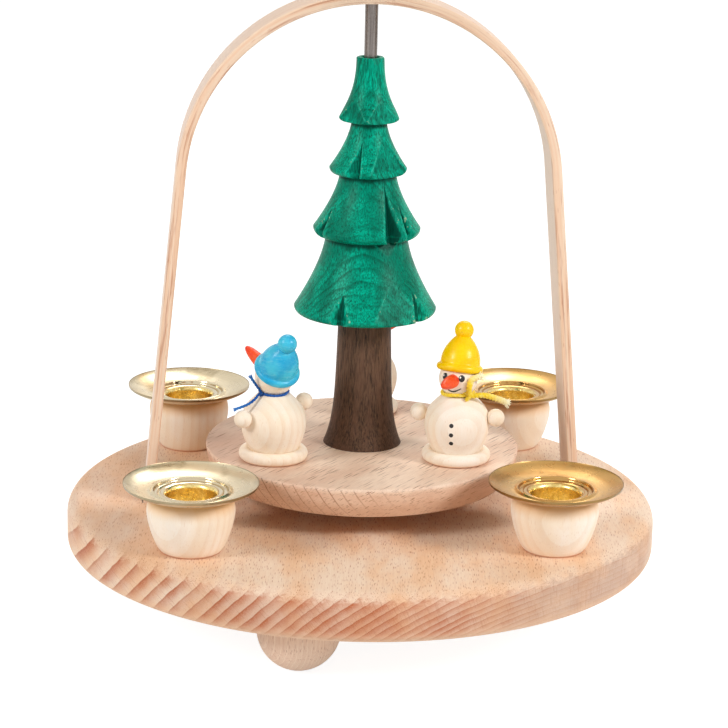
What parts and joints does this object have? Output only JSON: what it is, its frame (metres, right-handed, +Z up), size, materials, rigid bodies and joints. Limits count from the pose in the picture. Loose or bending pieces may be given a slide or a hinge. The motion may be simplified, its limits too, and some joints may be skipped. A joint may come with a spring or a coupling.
{
  "type": "candle carousel",
  "caption": "Free-standing wooden carousel: warm air from its candles turns a bladed rotor, and with it a turntable with a carved tree and snowmen, under a bent arch.",
  "frame": {"origin": "on the carousel's turning axis, on the surface that the ball feet stand on", "axes": "+Z up along the spindle; +X across the arch to its right leg, seen from the front; the front of the piece faces -Y"},
  "size_m": [0.192, 0.192, 0.2495],
  "materials": {
    "beech": "pale pinkish beech, fine sanded, dark flecks and growth rings",
    "arch_beech": "pale beech lath, long streaks, smooth",
    "turntable_beech": "beech with long dark slanting pores, satin",
    "rotor_beech": "turned beech, fine sanded",
    "blade_wood": "thin pale limewood board, straight grain",
    "maple": "turned pale maple, silky",
    "tree_green": "green stain with the grain showing, satin, worn edges",
    "trunk_brown": "dark brown stain, lighter fibres",
    "brass": "pale brushed brass, glossier in the cup",
    "steel": "drawn steel wire, satin",
    "nose_orange": "orange-red stain, satin",
    "hat_yellow": "yellow gloss paint",
    "hat_blue": "sky blue gloss paint",
    "hat_red": "red gloss paint",
    "scarf_yellow": "twisted yellow string",
    "scarf_blue": "twisted blue string",
    "scarf_red": "twisted red string",
    "face_black": "black paint dots with white glints"
  },
  "bodies": {
    "base": {"base_plate": "beech", "ball_foot_1": "beech", "ball_foot_2": "beech", "ball_foot_3": "beech", "arch": "arch_beech", "lower_bearing": "brass", "candle_holder_1": "maple", "candle_holder_2": "maple", "candle_holder_3": "maple", "candle_holder_4": "maple", "drip_plate_1": "brass", "drip_plate_2": "brass", "drip_plate_3": "brass", "drip_plate_4": "brass"},
    "carousel": {"spindle": "steel", "turntable": "turntable_beech", "tree_trunk": "trunk_brown", "tree_tier_1": "tree_green", "tree_tier_2": "tree_green", "tree_tier_3": "tree_green", "tree_tier_4": "tree_green", "snowman_yellow_ring": "maple", "snowman_yellow_body": "maple", "snowman_yellow_head": "maple", "snowman_yellow_hat": "hat_yellow", "snowman_yellow_nose": "nose_orange", "snowman_yellow_hand_left": "maple", "snowman_yellow_hand_right": "maple", "snowman_yellow_scarf": "scarf_yellow", "snowman_blue_ring": "maple", "snowman_blue_body": "maple", "snowman_blue_head": "maple", "snowman_blue_hat": "hat_blue", "snowman_blue_nose": "nose_orange", "snowman_blue_hand_left": "maple", "snowman_blue_hand_right": "maple", "snowman_blue_scarf": "scarf_blue", "snowman_red_ring": "maple", "snowman_red_body": "maple", "snowman_red_head": "maple", "snowman_red_hat": "hat_red", "snowman_red_nose": "nose_orange", "snowman_red_hand_left": "maple", "snowman_red_hand_right": "maple", "snowman_red_scarf": "scarf_red"},
    "rotor": {"rotor_hub": "rotor_beech", "rotor_finial": "rotor_beech"},
    "blade_1": {"rotor_blade_1": "blade_wood"},
    "blade_2": {"rotor_blade_2": "blade_wood"},
    "blade_3": {"rotor_blade_3": "blade_wood"},
    "blade_4": {"rotor_blade_4": "blade_wood"},
    "blade_5": {"rotor_blade_5": "blade_wood"},
    "blade_6": {"rotor_blade_6": "blade_wood"},
    "blade_7": {"rotor_blade_7": "blade_wood"},
    "blade_8": {"rotor_blade_8": "blade_wood"}
  },
  "joints": [
    {"name": "carousel_spin", "type": "hinge", "parent": "base", "child": "carousel", "pos_m": [0, 0, 0.03244], "axis": [0, 0, 1], "continuous": true},
    {"name": "rotor_lift", "type": "slide", "parent": "carousel", "child": "rotor", "axis": [0, 0, 1], "range_m": [0, 0.012]},
    {"name": "blade_1_pitch", "type": "hinge", "parent": "rotor", "child": "blade_1", "pos_m": [0, 0, 0.23054], "axis": [1, 0, 0], "range_deg": [-25, 25]},
    {"name": "blade_2_pitch", "type": "hinge", "parent": "rotor", "child": "blade_2", "pos_m": [0, 0, 0.23054], "axis": [0.7071, 0.7071, 0], "range_deg": [-25, 25]},
    {"name": "blade_3_pitch", "type": "hinge", "parent": "rotor", "child": "blade_3", "pos_m": [0, 0, 0.23054], "axis": [0, 1, 0], "range_deg": [-25, 25]},
    {"name": "blade_4_pitch", "type": "hinge", "parent": "rotor", "child": "blade_4", "pos_m": [0, 0, 0.23054], "axis": [-0.7071, 0.7071, 0], "range_deg": [-25, 25]},
    {"name": "blade_5_pitch", "type": "hinge", "parent": "rotor", "child": "blade_5", "pos_m": [0, 0, 0.23054], "axis": [-1, 0, 0], "range_deg": [-25, 25]},
    {"name": "blade_6_pitch", "type": "hinge", "parent": "rotor", "child": "blade_6", "pos_m": [0, 0, 0.23054], "axis": [-0.7071, -0.7071, 0], "range_deg": [-25, 25]},
    {"name": "blade_7_pitch", "type": "hinge", "parent": "rotor", "child": "blade_7", "pos_m": [0, 0, 0.23054], "axis": [0, -1, 0], "range_deg": [-25, 25]},
    {"name": "blade_8_pitch", "type": "hinge", "parent": "rotor", "child": "blade_8", "pos_m": [0, 0, 0.23054], "axis": [0.7071, -0.7071, 0], "range_deg": [-25, 25]}
  ]
}
